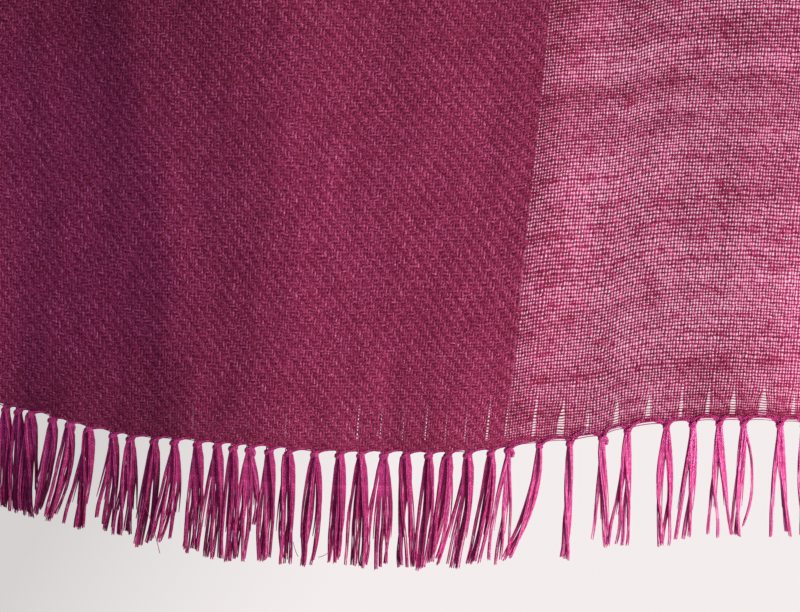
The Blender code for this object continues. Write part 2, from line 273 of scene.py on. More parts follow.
def flat_across(hung, height):
    """The place across the flat cloth that hangs this far from the fold."""
    low, high = 0, FRONT_WIDTH
    for _ in range(40):
        middle = (low + high) / 2
        if hung_across(middle, height) < hung:
            low = middle
        else:
            high = middle
    return (low + high) / 2


def fold_relief(folds, across, height, top):
    """How far the folds move the cloth outwards. They die away towards the rail."""
    relief = 0
    for row in folds:
        centre = (row.across + row.drift * height) * MM
        offset = (across - centre) / (row.half_width * MM)
        relief += row.depth * MM * math.exp(-offset * offset)
    return relief * (1 - smoothstep(0.25 * top, top, height))


def doubled(across):
    """1 where the return lies behind the outer layer, 0 where the outer layer is alone."""
    return 1 - smoothstep(STEP_FROM, STEP_FROM + STEP_DOWN, across)


def alone(across):
    """0 where the return lies behind, 1 past its selvedge."""
    return smoothstep(RETURN_WIDTH - 7 * MM, RETURN_WIDTH + 1 * MM, across)


def layer_radius(outer_share, across, above_hem):
    """A layer's distance from the rail's axis. outer_share is 1 for the outer layer, 0 for the return."""
    air = LAYER_AIR + FOLD_SWELL * math.exp(-((across / SWELL_REACH) ** 2))
    drawn = AIR_AT_KNOTS + (1 - AIR_AT_KNOTS) * smoothstep(0, KNOT_PULL, above_hem)
    seat = RAIL_RADIUS + RAIL_SEAT + CLOTH / 2
    return seat + outer_share * (CLOTH + air * drawn) * doubled(across)


def front_hem_rise(across):
    return along_table(HEM, across / MM) * MM


def ripple(across, height, seed):
    """Small unevenness of soft cloth, which both layers share."""
    broad = noise.noise(Vector((across * 22, height * 9, seed)))
    fine = noise.noise(Vector((across * 75, height * 30, seed + 7)))
    return (broad * 1.1 + fine * 0.35) * MM


def front_point(outer_share, across, up):
    """A point of the front fall. up is 0 at the hem and 1 at the rail."""
    rise = front_hem_rise(across)
    height = rise + (FRONT_DROP - rise) * up
    radius = layer_radius(outer_share, across, height - rise)
    relief = fold_relief(FRONT_FOLDS, across, height, FRONT_DROP)
    relief += ripple(across, height, 1) * (1 - smoothstep(0.85, 1, up))
    return Vector((FOLD_X + hung_across(across, height), -radius - relief, height - FRONT_DROP))


def turn_point(outer_share, across, up):
    """A point of the turn over the rail. up is 0 at the front and 1 at the back."""
    radius = layer_radius(outer_share, across, STOLE_LENGTH)
    angle = math.pi * up
    return Vector((FOLD_X + across, -radius * math.cos(angle), radius * math.sin(angle)))


def back_point(outer_share, across, up):
    """A point of the back fall. up is 0 at its hem and 1 at the rail."""
    height = BACK_DROP * up
    radius = layer_radius(outer_share, across, height)
    relief = fold_relief(BACK_FOLDS, across, height, BACK_DROP)
    relief += ripple(across, height, 5) * (1 - smoothstep(0.7, 1, up))
    return Vector((FOLD_X + across, radius + relief, height - BACK_DROP))


def front_knot_places():
    """Where each front knot gathers its warps, across the flat cloth."""
    return [flat_across(row.at * MM, front_hem_rise(row.at * MM)) for row in TASSELS]


def back_knot_places():
    stretch = FRONT_WIDTH / hung_across(FRONT_WIDTH, front_hem_rise(FRONT_WIDTH))
    return [row.at * MM * stretch for row in TASSELS]


class Stretch:
    """One stretch of the cloth: its form, how it is divided, and how its threads are counted.

    count_way is 1 where the weft count rises with the rows, from first_weft, and -1 where it falls.
    """

    def __init__(self, point, drop, knots, rows, parts, first_weft, count_way, hem):
        self.point = point
        self.drop = drop
        self.knots = knots
        self.rows = rows
        self.parts = parts
        self.first_weft = first_weft
        self.count_way = count_way
        self.hem = hem

    def columns(self):
        """Places across, and for the strip right of each its knot and the far edge of that knot's warps."""
        edges = [0.0]
        for left, right in zip(self.knots, self.knots[1:]):
            share = 0.5 + (EDGE_SHARE_DOUBLE - 0.5) * doubled(left)
            edges.append(left + (right - left) * share)
        edges.append(FRONT_WIDTH)
        places, strips = [], []
        for k, knot in enumerate(self.knots):
            for start, end in ((edges[k], knot), (knot, edges[k + 1])):
                for part in range(self.parts):
                    places.append(start + (end - start) * part / self.parts)
                    strips.append((knot, start + end - knot))
        places.append(FRONT_WIDTH)
        return places, strips

    def weft_count(self, up):
        """Wefts between the front hem and this row, which are beaten close at a hem and loose above it."""
        above = up * self.drop / MM
        count = above / WEFT_PITCH
        if self.hem:
            count += BEATEN_ROWS * (1 - math.exp(-above / BEATEN_REACH))
            count -= LOOSE_ROWS * smoothstep(LOOSE_FROM, LOOSE_TO, above)
        return self.first_weft + self.count_way * count

    def draw(self, across, up):
        """The share by which the warps are drawn towards their knot."""
        if not self.hem:
            return 0
        above = up * self.drop / MM
        double = doubled(across)
        most_double = DRAW_DOUBLE + DRAW_BY_RETURN_EDGE * smoothstep(0.60, 0.95, across / RETURN_WIDTH)
        most = DRAW_SINGLE + (most_double - DRAW_SINGLE) * double
        reach = DRAW_REACH_SINGLE + (DRAW_REACH_DOUBLE - DRAW_REACH_SINGLE) * double
        uneven = 0.75 + 1.1 * noise.noise(Vector((across * 60, 0, 3.3)))
        return most * max(uneven, 0) * math.exp(-((above / reach) ** 4))


FRONT_WEFTS = FRONT_DROP / MM / WEFT_PITCH + BEATEN_ROWS - LOOSE_ROWS
ALL_WEFTS = STOLE_LENGTH / MM / WEFT_PITCH + 2 * (BEATEN_ROWS - LOOSE_ROWS)


def warp_count(across):
    """Warps between the fold and a place across the flat cloth, negative on the return."""
    return math.copysign(hung_across(abs(across), PITCH_HEIGHT), across) / MM / WARP_PITCH


def row_shares(drop, spacing):
    """Shares of a drop at each row, for a table of (step, height up to which it holds) in millimetres."""
    heights = [0.0]
    for step, until in spacing:
        while heights[-1] + step <= until + 0.01:
            heights.append(heights[-1] + step)
    heights[-1] = drop / MM
    return [height * MM / drop for height in heights]


def set_map(mesh, name, pairs):
    """Two numbers for each face's corner, as a named map."""
    mesh.uv_layers.new(name=name).data.foreach_set("uv", np.asarray(pairs, np.float32).ravel())


def set_attribute(mesh, name, values):
    """One number for each point."""
    attribute = mesh.attributes.new(name, "FLOAT", "POINT")
    attribute.data.foreach_set("value", np.asarray(values, np.float32))


def add_object(name, data):
    made = bpy.data.objects.new(name, data)
    bpy.context.scene.collection.objects.link(made)
    return made


def cloth_sheet(name, grid, widths, strips, stretch, behind=0):
    """A thin shell through a grid of points, with the thread counts that the weave needs."""
    rows, columns = len(grid), len(grid[0])
    first = (np.arange(rows - 1)[:, None] * columns + np.arange(columns - 1)).ravel()
    faces = np.stack([first, first + 1, first + columns + 1, first + columns], axis=1)
    mesh = bpy.data.meshes.new(name)
    mesh.from_pydata([point for line in grid for point in line], [], faces.tolist())
    side = -1 if behind else 1
    warps = np.array([warp_count(side * width) for width in widths])
    wefts = np.array([stretch.weft_count(up) for up in stretch.rows]) + RETURN_SLIP * behind
    corners = faces.ravel()
    set_map(mesh, "thread", np.stack([warps[corners % columns], wefts[corners // columns]], axis=1))
    strip_of_corner = np.repeat(np.arange((rows - 1) * (columns - 1)) % (columns - 1), 4)
    middles = np.array([warp_count(side * knot) for knot, _ in strips])
    halves = np.abs(np.array([warp_count(side * edge) for _, edge in strips]) - middles)
    from_knot = warps[corners % columns] - middles[strip_of_corner]
    set_map(mesh, "knot_group", np.stack([from_knot, halves[strip_of_corner]], axis=1))
    draw = [stretch.draw(width, up) for up in stretch.rows for width in widths]
    above = [up * stretch.drop / MM if stretch.hem else 1000 for up in stretch.rows for _ in widths]
    past = [(width - RETURN_WIDTH) / MM for width in widths] * rows
    set_attribute(mesh, "draw", draw)
    set_attribute(mesh, "above_hem", above)
    set_attribute(mesh, "past_return", past)
    set_attribute(mesh, "behind", [float(behind)] * len(draw))
    mesh.shade_smooth()
    return add_object(name, mesh)


def scallop(stretch, strip, across, up):
    """The hem dips to each knot and arches between knots."""
    if not stretch.hem:
        return 0
    knot, edge = strip
    share = min(abs(across - knot) / abs(edge - knot), 1)
    double = doubled(across)
    dip = DIP_SINGLE + (DIP_DOUBLE - DIP_SINGLE) * double
    arch = ARCH_SINGLE + (ARCH_DOUBLE - ARCH_SINGLE) * double
    uneven = 1 + 0.8 * noise.noise(Vector((edge * 90, 0.5, 9.1)))
    rising = smoothstep(0, 0.5 + 0.4 * double, share)
    return (dip + arch * uneven * rising) * MM * math.exp(-up * stretch.drop / MM / DIP_REACH)


def layer_line(stretch, layer, places, strips, up):
    """One row of a layer, from its first place across to its selvedge."""
    line = []
    for n, across in enumerate(places):
        place = stretch.point(layer, across, up)
        place.z += scallop(stretch, strips[min(n, len(strips) - 1)], across, up)
        line.append(place)
    return line


def outer_sheet(name, stretch):
    """The outer layer, from the return side of the lengthwise fold to its own selvedge."""
    places, strips = stretch.columns()
    grid = []
    for up in stretch.rows:
        outer, inner = stretch.point(1, 0, up), stretch.point(0, 0, up)
        centre, reach = (outer + inner) / 2, (outer - inner) / 2
        line = []
        for step in range(FOLD_STEPS):
            angle = math.pi * (1 - step / FOLD_STEPS)
            around = centre + reach * math.cos(angle)
            around.x -= reach.length * math.sin(angle)
            line.append(around)
        grid.append(line + layer_line(stretch, 1, places, strips, up))
    fold = [-FOLD_ALLOWANCE * (1 - step / FOLD_STEPS) for step in range(FOLD_STEPS)]
    return cloth_sheet(name, grid, fold + places, [strips[0]] * FOLD_STEPS + strips, stretch)


def return_sheet(name, stretch):
    """The return layer, from beside the fold to its selvedge, with its warps counted away from the fold."""
    places, strips = stretch.columns()
    kept = [n for n, across in enumerate(places) if across < RETURN_WIDTH - 0.3 * MM]
    places = [max(places[n], FOLD_SEAM) for n in kept] + [RETURN_WIDTH]
    strips = [strips[n] for n in kept]
    grid = [layer_line(stretch, 0, places, strips, up) for up in stretch.rows]
    return cloth_sheet(name, grid, places, strips, stretch, 1)


class Value:
    """A number that changes over a surface. Arithmetic on it adds Math nodes to its tree."""

    def __init__(self, nodes, socket):
        self.nodes = nodes
        self.socket = socket

    def math(self, operation, *values):
        return self.nodes.node("Math", {"operation": operation}, dict(enumerate(values)))

    def __add__(self, other):
        return self.math("ADD", self, other)

    __radd__ = __add__

    def __sub__(self, other):
        return self.math("SUBTRACT", self, other)

    def __rsub__(self, other):
        return self.math("SUBTRACT", other, self)

    def __mul__(self, other):
        return self.math("MULTIPLY", self, other)

    __rmul__ = __mul__

    def __truediv__(self, other):
        return self.math("DIVIDE", self, other)

    def __pow__(self, other):
        return self.math("POWER", self, other)

    def __gt__(self, other):
        return self.math("GREATER_THAN", self, other)

    def __abs__(self):
        return self.math("ABSOLUTE", self)

    def floor(self):
        return self.math("FLOOR", self)

    def sine(self):
        return self.math("SINE", self)

    def most(self, other):
        return self.math("MAXIMUM", self, other)

    def least(self, other):
        return self.math("MINIMUM", self, other)

    def held(self):
        """Kept between 0 and 1."""
        return self.most(0).least(1)

    def eased(self, low, high):
        """0 below low, 1 above high, and smooth between."""
        settings = {"interpolation_type": "SMOOTHSTEP"}
        return self.nodes.node("MapRange", settings, {0: self, 1: low, 2: high, 3: 0, 4: 1})

    def between(self, low, high):
        """low where this is 0 and high where it is 1."""
        return low + (high - low) * self


class Nodes:
    """A node tree in the making."""

    def __init__(self, tree):
        self.tree = tree

    def feed(self, node, sockets):
        for key, value in sockets.items():
            if isinstance(value, Value):
                self.tree.links.new(value.socket, node.inputs[key])
            else:
                node.inputs[key].default_value = value

    def node(self, kind, settings, sockets, output=0):
        """Any node: its type, its settings, the values or links of its sockets, and the output wanted."""
        made = self.tree.nodes.new("ShaderNode" + kind)
        for key, value in settings.items():
            setattr(made, key, value)
        self.feed(made, sockets)
        return Value(self, made.outputs[output])

    def pair(self, name):
        """The two numbers of a named map."""
        both = self.node("UVMap", {"uv_map": name}, {})
        return self.parts(both)[:2]

    def parts(self, vector):
        made = self.node("SeparateXYZ", {}, {0: vector}).socket.node
        return [Value(self, output) for output in made.outputs]

    def attribute(self, name):
        return self.node("Attribute", {"attribute_name": name}, {}, "Fac")

    def place(self, x, y, z=0):
        return self.node("CombineXYZ", {}, {0: x, 1: y, 2: z})

    def noise(self, place, detail=0.0, rough=0.5, output="Fac"):
        sockets = {"Vector": place, "Scale": 1.0, "Detail": detail, "Roughness": rough}
        return self.node("TexNoise", {}, sockets, output)

    def three_noises(self, place, detail=0.0):
        """Three independent noises at the price of one."""
        return self.parts(self.noise(place, detail, output="Color"))

    def blend(self, share, first, second):
        return self.node("Mix", {"data_type": "RGBA"}, {0: share, 6: first, 7: second}, 2)

    def ramp(self, share, stops):
        """A colour that runs through (place, colour) stops."""
        made = self.node("ValToRGB", {}, {0: share})
        elements = made.socket.node.color_ramp.elements
        while len(elements) < len(stops):
            elements.new(0.5)
        for element, (position, colour) in zip(elements, stops):
            element.position = position
            element.color = (*colour, 1)
        return made


class Finish(Nodes):
    """A material in the making."""

    def __init__(self, name, roughness):
        self.material = bpy.data.materials.new(name)
        self.material.use_nodes = True
        super().__init__(self.material.node_tree)
        self.shader = self.tree.nodes["Principled BSDF"]
        self.feed(self.shader, {"Roughness": roughness})

    def raise_by(self, height, distance, strength):
        bump = self.node("Bump", {}, {"Height": height, "Distance": distance, "Strength": strength})
        self.feed(self.shader, {"Normal": bump})


def soft_wool(finish, weight, tint):
    """The bloom of fine fibres that wool shows at a glancing angle."""
    sockets = {"Sheen Weight": weight, "Sheen Roughness": 0.45, "Sheen Tint": (*tint, 1)}
    finish.feed(finish.shader, {**sockets, "Specular IOR Level": 0.15})


def twill_finish():
    """Open 2/2 twill of handspun wool: warps and wefts cross over two and under two, with holes between."""
    f = Finish("wool_twill", 0.85)
    warp, weft = f.pair("thread")
    from_knot, half_group = f.pair("knot_group")
    draw = f.attribute("draw")
    above_hem = f.attribute("above_hem")
    past_return = f.attribute("past_return")
    behind = f.attribute("behind")
    backed = 1 - past_return.eased(-0.7, 0.9)
    # Painted shade: on the lone outer layer, a strip beside the return's selvedge is painted darker, and its
    # threads are denser there
    beside = (1 - past_return.eased(0.0, 36.0)) * (1 - backed)

    # Neither set of threads runs quite evenly
    bands = f.noise(f.place(warp * 0.012, weft * 0.045)) - 0.5
    beat = f.noise(f.place(warp * 0.030, weft * 0.300, 4.0)) - 0.5
    sleying = f.noise(f.place(warp * 0.280, weft * 0.007, 8.0)) - 0.5
    swing = f.noise(f.place(warp * 0.015, weft * 0.015, 12.0)) - 0.5
    wobble_u, wobble_v, cloud = f.three_noises(f.place(warp * 0.62, weft * 0.62, 16.0))
    v = weft + bands * 4.0 + beat * 0.9 + (wobble_v - 0.5) * 0.5
    gathered = from_knot / (1 - draw)
    u = warp - from_knot + gathered + sleying * 0.9 + swing * 2.0 + (wobble_u - 0.5) * 0.5
    i, j = u.floor(), v.floor()

    # Each thread has its own place in its cell, its own thickness and its own tone
    warp_shift, warp_size, warp_tone = f.three_noises(f.place(i * 3.71, v * 0.22, 20.0), 1.0)
    weft_shift, weft_size, weft_tone = f.three_noises(f.place(u * 0.22, j * 3.37, 40.0), 1.0)
    fluff = f.noise(f.place(u * 0.15, v * 0.42, 70.0), 2.0, 0.6).eased(0.50, 0.72)
    patches = f.noise(f.place(warp * 0.05, weft * 0.09, 80.0), 2.0) - 0.5
    streaks = (f.noise(f.place(warp * 0.012, weft * 0.13, 90.0), 1.0) - 0.5) * (1 - backed)
    beaten = 1 - above_hem.eased(0.5, 8.0)
    in_group = 1 - (abs(gathered) - half_group).eased(-0.05, 0.15)
    rim = 1 - (above_hem - backed * 2.8).eased(0.4, 2.2)
    # Painted shade: near the hem, far past the return's selvedge, the cloth is painted darker, and its
    # threads are denser there
    corner = past_return.eased(60, 105) * (1 - above_hem.eased(8, 60))
    denser = fluff * 0.06 + patches * 0.10 + streaks * 0.22 + 0.015 + beside * 0.050
    denser = denser + above_hem.eased(40, 140) * 0.040 + corner * 0.035
    warp_half = (backed.between(0.255, 0.27) + warp_size * 0.16 + denser + beaten * 0.05) / (1 - draw)
    weft_half = backed.between(0.170, 0.19) + weft_size * 0.18 + denser + beaten * 0.16
    weft_half = weft_half * in_group.between(0.80 + backed * 0.35 + rim * 1.2, 1.0)
    warp_off = abs(u - i - 0.5 - (warp_shift - 0.5) * 0.36) / warp_half
    weft_off = abs(v - j - 0.5 - (weft_shift - 0.5) * 0.36) / weft_half
    warp_there = (1 - warp_off).eased(0.0, 0.30) * in_group
    weft_there = (1 - weft_off).eased(0.0, 0.30) * (1 - behind * (1 - in_group))

    # Which thread is on top
    warp_round = (1 - (warp_off * warp_off).least(1)) ** 0.5
    weft_round = (1 - (weft_off * weft_off).least(1)) ** 0.5
    warp_lift = ((i + v) * (math.pi / 2)).sine()
    weft_lift = 0 - ((u + j) * (math.pi / 2)).sine()
    warp_height = warp_lift * 0.6 + warp_round * 0.5 - (1 - warp_there) * 4
    weft_height = weft_lift * 0.6 + weft_round * 0.5 - (1 - weft_there) * 4
    warp_on_top = warp_height > weft_height
    rounding = warp_on_top.between(weft_round, warp_round)
    lift = warp_on_top.between(weft_lift, warp_lift)
    tone = warp_on_top.between(weft_tone, warp_tone)
    crossing = warp_there * weft_there
    wale = ((u + v - 0.5) * (math.pi / 2)).sine()

    # Fibres stray into the holes, and lie along the thread that is on top
    warp_fibres = f.noise(f.place(u * 1.5, v * 0.6, 60.0), 2.0, 0.6)
    weft_fibres = f.noise(f.place(u * 0.6, v * 1.5, 65.0), 2.0, 0.6)
    fibres = warp_on_top.between(weft_fibres, warp_fibres)
    fuzz = f.noise(f.place(warp * 1.9, weft * 2.2, 75.0), 1.0) - 0.5
    hole = 1 - warp_there.most(weft_there)
    stray = warp_fibres.eased(0.42, 0.66).between(0.24, 0.80) + fluff * 0.4 + behind * 0.45 + backed * 0.5
    open_gap = in_group.between(0.3 + rim * 0.7 - backed * 0.22 - behind * 0.25, 1.0)
    f.feed(f.shader, {"Alpha": (1 - hole * (1 - (stray * open_gap).least(1)))})

    # Light on the threads: bright on the floats, dark where one dips beneath another and in the holes
    light = 0.20 + backed * 0.04 + rounding * backed.between(0.24, 0.17)
    light = light + lift * backed.between(0.06, 0.09) + wale * 0.07 - corner * 0.10
    light = light + (tone - 0.5) * 0.42 + (fibres - 0.5) * 0.85 + fuzz * backed.between(0.5, 1.35)
    light = light - patches * 0.16 - streaks * 0.20 - beaten * 0.05 - beside * 0.075 - hole * backed * 0.13
    # Painted backlight: where the outer layer hangs alone, its threads are painted brighter as if lit
    # through from behind, less so where they cross, in fluff and between the knots' groups
    through = 0.49 - warp_there * 0.28 - weft_there * 0.26 - crossing * 0.12
    through = (1 - backed) * (through - fluff * 0.15 - (1 - in_group) * 0.22)
    colour = f.ramp(
        (light + through).held(),
        [
            (0.00, (0.095, 0.0010, 0.014)),
            (0.25, (0.185, 0.0055, 0.038)),
            (0.50, (0.300, 0.0270, 0.090)),
            (0.75, (0.500, 0.0850, 0.210)),
            (1.00, (0.780, 0.2300, 0.400)),
        ],
    )
    reddened = f.blend(fluff * backed.between(0.38, 0.25), colour, (0.30, 0.016, 0.060, 1))
    # Painted backlight: fibres in the holes of the lone outer layer are painted bright pink, as if lit from
    # behind
    painted_glow_in_holes = f.blend(hole * (1 - backed) * (1 - behind) * 0.9, reddened, (1.0, 0.14, 0.46, 1))
    f.feed(f.shader, {"Base Color": painted_glow_in_holes})
    soft_wool(f, 0.24, (0.95, 0.80, 1.0))
    f.raise_by(warp_height.most(weft_height).most(-1), 0.00035, 0.7)
    return f.material


def yarn_finish():
    """Loose two-ply yarn of the fringes: the plies wind round each other, and each yarn has its tone, which
    also carries painted light and shade.
    """
    f = Finish("fringe_yarn", 0.80)
    around, along = f.pair("ply")
    tone = f.attribute("tone")
    wind = ((around * 2 + along * 0.36) * (2 * math.pi)).sine()
    ply = abs(wind)
    fibres = f.noise(f.place(around * 2.0, along * 0.55, tone * 30), 2.0, 0.7)
    light = 0.20 + tone * 0.46 + (ply - 0.5) * 0.32 + (fibres - 0.5) * 1.1
    colour = f.ramp(
        light.held(),
        [
            (0.00, (0.180, 0.008, 0.054)),
            (0.30, (0.430, 0.024, 0.152)),
            (0.62, (0.780, 0.085, 0.320)),
            (1.00, (1.000, 0.340, 0.660)),
        ],
    )
    f.feed(f.shader, {"Base Color": colour})
    soft_wool(f, 0.25, (0.95, 0.55, 0.90))
    f.raise_by(ply + fibres * 0.5, 0.0001, 0.8)
    return f.material


class YarnWork:
    """Yarns of a fringe, gathered into one mesh."""

    def __init__(self):
        self.points = []
        self.faces = []
        self.ply = []
        self.tones = []
        self.normals = []

    def lay(self, path, radii, tone, facing, tip=0.0):
        """One yarn along a path of points. Its tone rises by tip towards the far end.

        facing is the side of its bundle that it lies on, along Y, or a list of one for each point. There the
        bundle is lit as one soft form.
        """
        facings = facing if isinstance(facing, list) else [facing] * len(path)
        count = len(path)
        tangents = [(path[min(n + 1, count - 1)] - path[max(n - 1, 0)]).normalized() for n in range(count)]
        side = tangents[0].orthogonal().normalized()
        length = 0
        start = len(self.points)
        lengths = []
        for n, (place, tangent, radius) in enumerate(zip(path, tangents, radii)):
            side = (side - tangent * side.dot(tangent)).normalized()
            other = tangent.cross(side)
            length += (place - path[n - 1]).length if n else 0
            lengths.append(length / MM)
            for m in range(YARN_SIDES):
                angle = 2 * math.pi * m / YARN_SIDES
                outward = side * math.cos(angle) + other * math.sin(angle)
                self.points.append(place + outward * radius)
                soft = BUNDLE_SOFTNESS * smoothstep(-0.6, 0.2, outward.y * facings[n])
                self.normals.append(outward * (1 - soft) + Vector((0, facings[n] * soft, 0)))
            self.tones += [min(tone + tip * (n / (count - 1)) ** 8, 1)] * YARN_SIDES
        for n in range(count - 1):
            for m in range(YARN_SIDES):
                k = (m + 1) % YARN_SIDES
                ring, following = start + n * YARN_SIDES, start + (n + 1) * YARN_SIDES
                self.faces.append((ring + m, ring + k, following + k, following + m))
                low, high = m / YARN_SIDES, (m + 1) / YARN_SIDES
                self.ply += [low, lengths[n], high, lengths[n], high, lengths[n + 1], low, lengths[n + 1]]
        for ring, turn in ((start, -1), (start + (count - 1) * YARN_SIDES, 1)):
            self.faces.append([ring + m for m in range(YARN_SIDES)][::turn])
            self.ply += [0.0, 0.0] * YARN_SIDES

    def object(self, name, material):
        mesh = bpy.data.meshes.new(name)
        mesh.from_pydata(self.points, [], self.faces)
        set_map(mesh, "ply", self.ply)
        set_attribute(mesh, "tone", self.tones)
        mesh.shade_smooth()
        mesh.normals_split_custom_set_from_vertices([normal.normalized() for normal in self.normals])
        mesh.materials.append(material)
        return add_object(name, mesh)


class Fringe:
    """A hem's knots, the warps that fan into them, the loose wefts between them, and the tassels below."""

    def __init__(self, stretch, outward, steps, seed):
        self.stretch = stretch
        self.outward = outward
        self.steps = steps
        self.work = YarnWork()
        self.chance = random.Random(seed)

    def place(self, across):
        """The hem at a place across, both layers taken together."""
        return self.stretch.point(0.5 if across < RETURN_WIDTH else 1, across, 0)

    def tone(self, low, high):
        return self.chance.uniform(low, high)

    def fan(self, k, knot):
        """Warps that run from the edge of the cloth into the knot."""
        _, strips = self.stretch.columns()
        across_knot = self.stretch.knots[k]
        left_edge = strips[2 * self.stretch.parts * k][1]
        right_edge = strips[2 * self.stretch.parts * k + self.stretch.parts][1]
        layers = (0, 1) if across_knot < RETURN_WIDTH else (1,)
        count = max(round((right_edge - left_edge) / MM / WARP_PITCH), 6)
        for layer in layers:
            for n in range(count):
                share = -1 + 2 * (n + 0.5) / count
                across = min(max(left_edge + (right_edge - left_edge) * (n + 0.5) / count, 0), FRONT_WIDTH)
                start = self.stretch.point(layer, across, 0)
                edge = right_edge if across > across_knot else left_edge
                start.z += scallop(self.stretch, (across_knot, edge), across, 0) + 0.9 * MM
                start.x = knot.x + (start.x - knot.x) * (1 - self.stretch.draw(across_knot, 0))
                end = Vector((knot.x + share * NECK_HALF_WIDTH, knot.y, knot.z - 0.6 * MM))
                end.y += self.chance.uniform(-0.7, 0.7) * MM
                path = []
                for step in range(4):
                    t = step / 3
                    aside = 1 - (1 - t) ** 1.5
                    path.append(Vector((
                        start.x + (end.x - start.x) * aside,
                        start.y + (end.y - start.y) * t,
                        start.z + (end.z - start.z) * t,
                    )))
                facing = self.outward if layer else -self.outward
                self.work.lay(path, [YARN] * 4, self.tone(0.0, 0.3), facing)

    def loose_wefts(self, knot, following, single):
        """The last wefts, which have slipped and hang in shallow arcs from knot to knot."""
        count = self.chance.choice((3, 4, 4)) if single > 0.5 else self.chance.choice((0, 1, 1, 2))
        gap = (following.x - knot.x) / (12 * MM)
        for n in range(count):
            middle = (self.chance.uniform(0.0, 0.6) + n * 0.5) * MM * (gap if single > 0.5 else 1)
            ends = (0.3 + n * 0.4) * MM
            path = []
            for step in range(9):
                t = step / 8
                place = knot.lerp(following, t)
                place.z += ends + (middle + 0.5 * MM) * (1 - (2 * t - 1) ** 2)
                place.y += self.chance.uniform(-0.15, 0.15) * MM
                path.append(place)
            thin = YARN * self.chance.uniform(0.55, 0.85)
            self.work.lay(path, [thin] * 9, self.tone(0.0, 0.1), self.outward)

    def turn(self, middle, wide, deep, tilt, tall, radius, tone):
        """One turn of yarn, flat round the bundle or upright as a loop."""
        phase = self.chance.uniform(0, 2 * math.pi)
        path = []
        for step in range(11):
            angle = phase + 2 * math.pi * step / 10
            path.append(middle + Vector((
                wide * math.cos(angle),
                deep * math.sin(angle),
                tilt * math.cos(angle) + tall * math.sin(angle),
            )))
        self.work.lay(path, [radius] * 11, tone, self.outward)

    def knot(self, k, top, slant, single):
        """An overhand knot: turns of the bundle round itself, and a lump where the ends come out."""
        size = (0.88 if single > 0.5 else 1.12) * self.chance.uniform(0.88, 1.12)
        middle = top - Vector((0, 0, KNOT_HEIGHT * 0.45))
        tilt = self.chance.uniform(0.2, 0.8) * MM
        for n in range(5):
            level = (n - 2) * 0.44 * MM
            narrow = 1 - 0.08 * abs(n - 2)
            place = middle + Vector((slant * level + self.chance.uniform(-0.2, 0.2) * MM, 0, level))
            wide, deep = KNOT_HALF_WIDTH * size * narrow, KNOT_HALF_DEPTH * narrow
            self.turn(place, wide, deep, tilt, 0.15 * MM, KNOT_YARN, self.tone(0.0, 0.5))
        lump = Vector((-KNOT_HALF_WIDTH * size * 0.8, -0.6 * MM, 0.3 * MM))
        for n in range(2):
            place = middle + lump + Vector((0, 0, -0.5 * MM * n))
            self.turn(place, 0.6 * MM, 0.5 * MM, 0.2 * MM, 0.6 * MM, KNOT_YARN, self.tone(0.0, 0.1))
        if k in LOOPED_KNOTS:
            self.ear(middle + Vector((KNOT_HALF_WIDTH * size * 0.6, -0.5 * MM, 0)))

    def ear(self, root):
        """A short fat loop of yarn that stands out from a knot and droops."""
        for n in range(3):
            out, down = (0.55 + 0.3 * n) * MM, (1.0 + 0.5 * n) * MM
            path = [
                root + Vector((0, 0, 0.8 * MM)),
                root + Vector((out, -0.2 * MM, 0.7 * MM)),
                root + Vector((out * 1.5, -0.2 * MM, -down * 0.5)),
                root + Vector((out * 1.2, 0, -down * 1.3)),
                root + Vector((0, 0.2 * MM, -down * 1.6)),
            ]
            radii = [0.35 * MM, 0.5 * MM, 0.6 * MM, 0.55 * MM, 0.3 * MM]
            self.work.lay(path, radii, self.tone(0.5, 0.9), self.outward)

    def bundles(self, k):
        """A tassel's bundles from the table, or else two that part a little."""
        if k in BUNDLES:
            return [Bundle(*row) for row in BUNDLES[k]]
        left = self.chance.uniform(0.35, 0.65)
        return [
            Bundle(left, -self.chance.uniform(0.5, 1.0), -self.chance.uniform(0.4, 1.4), 0.0),
            Bundle(1 - left, self.chance.uniform(0.5, 1.0), self.chance.uniform(0.4, 1.4), 0.8),
        ]

    def filling(self, top, start_z, reach, wide, middle_line, tone):
        """The hidden yarns in the middle of a bundle, as three thick ones that thin out on the way."""
        end_z = top.z + NECK_BELOW_HEM - 0.75 * reach * MM
        steps = self.steps // 2
        for side in (-0.5, 0, 0.5):
            path, radii = [], []
            for step in range(steps + 1):
                t = step / steps
                aside, spread = middle_line(t * 0.75)
                x = top.x + aside + side * wide * spread
                path.append(Vector((x, top.y, start_z + (end_z - start_z) * t)))
                radii.append(0.27 * wide * spread * (1 - 0.85 * t * t) + 0.1 * MM)
            self.work.lay(path, radii, tone, self.outward)

    def clump(self, top, start_z, end_z, count, centre, tone):
        """A few yarns that cling together. centre gives their middle at a share of the way down."""
        winding = self.chance.uniform(-0.8, 0.8)
        radius = CLUMP_RADIUS * math.sqrt(count / YARNS_IN_CLUMP)
        for n in range(count):
            start = 2 * math.pi * n / count + self.chance.uniform(-0.3, 0.3)
            end = end_z + self.chance.uniform(-0.3, 0.5) * MM
            path, radii, facings = [], [], []
            for step in range(self.steps + 1):
                t = step / self.steps
                x, y = centre(t)
                angle = start + 2 * math.pi * winding * t
                x += radius * math.cos(angle)
                y += radius * math.sin(angle)
                path.append(Vector((top.x + x, top.y + y, start_z + (end - start_z) * t)))
                radii.append(YARN * (1 - 0.3 * smoothstep(0.95, 1, t)))
                facings.append(0 if y * self.outward < -0.5 * MM else self.outward)
            own = self.tone(-0.32, 0.30) + tone
            self.work.lay(path, radii, min(max(own, 0), 1), facings, 0.1)

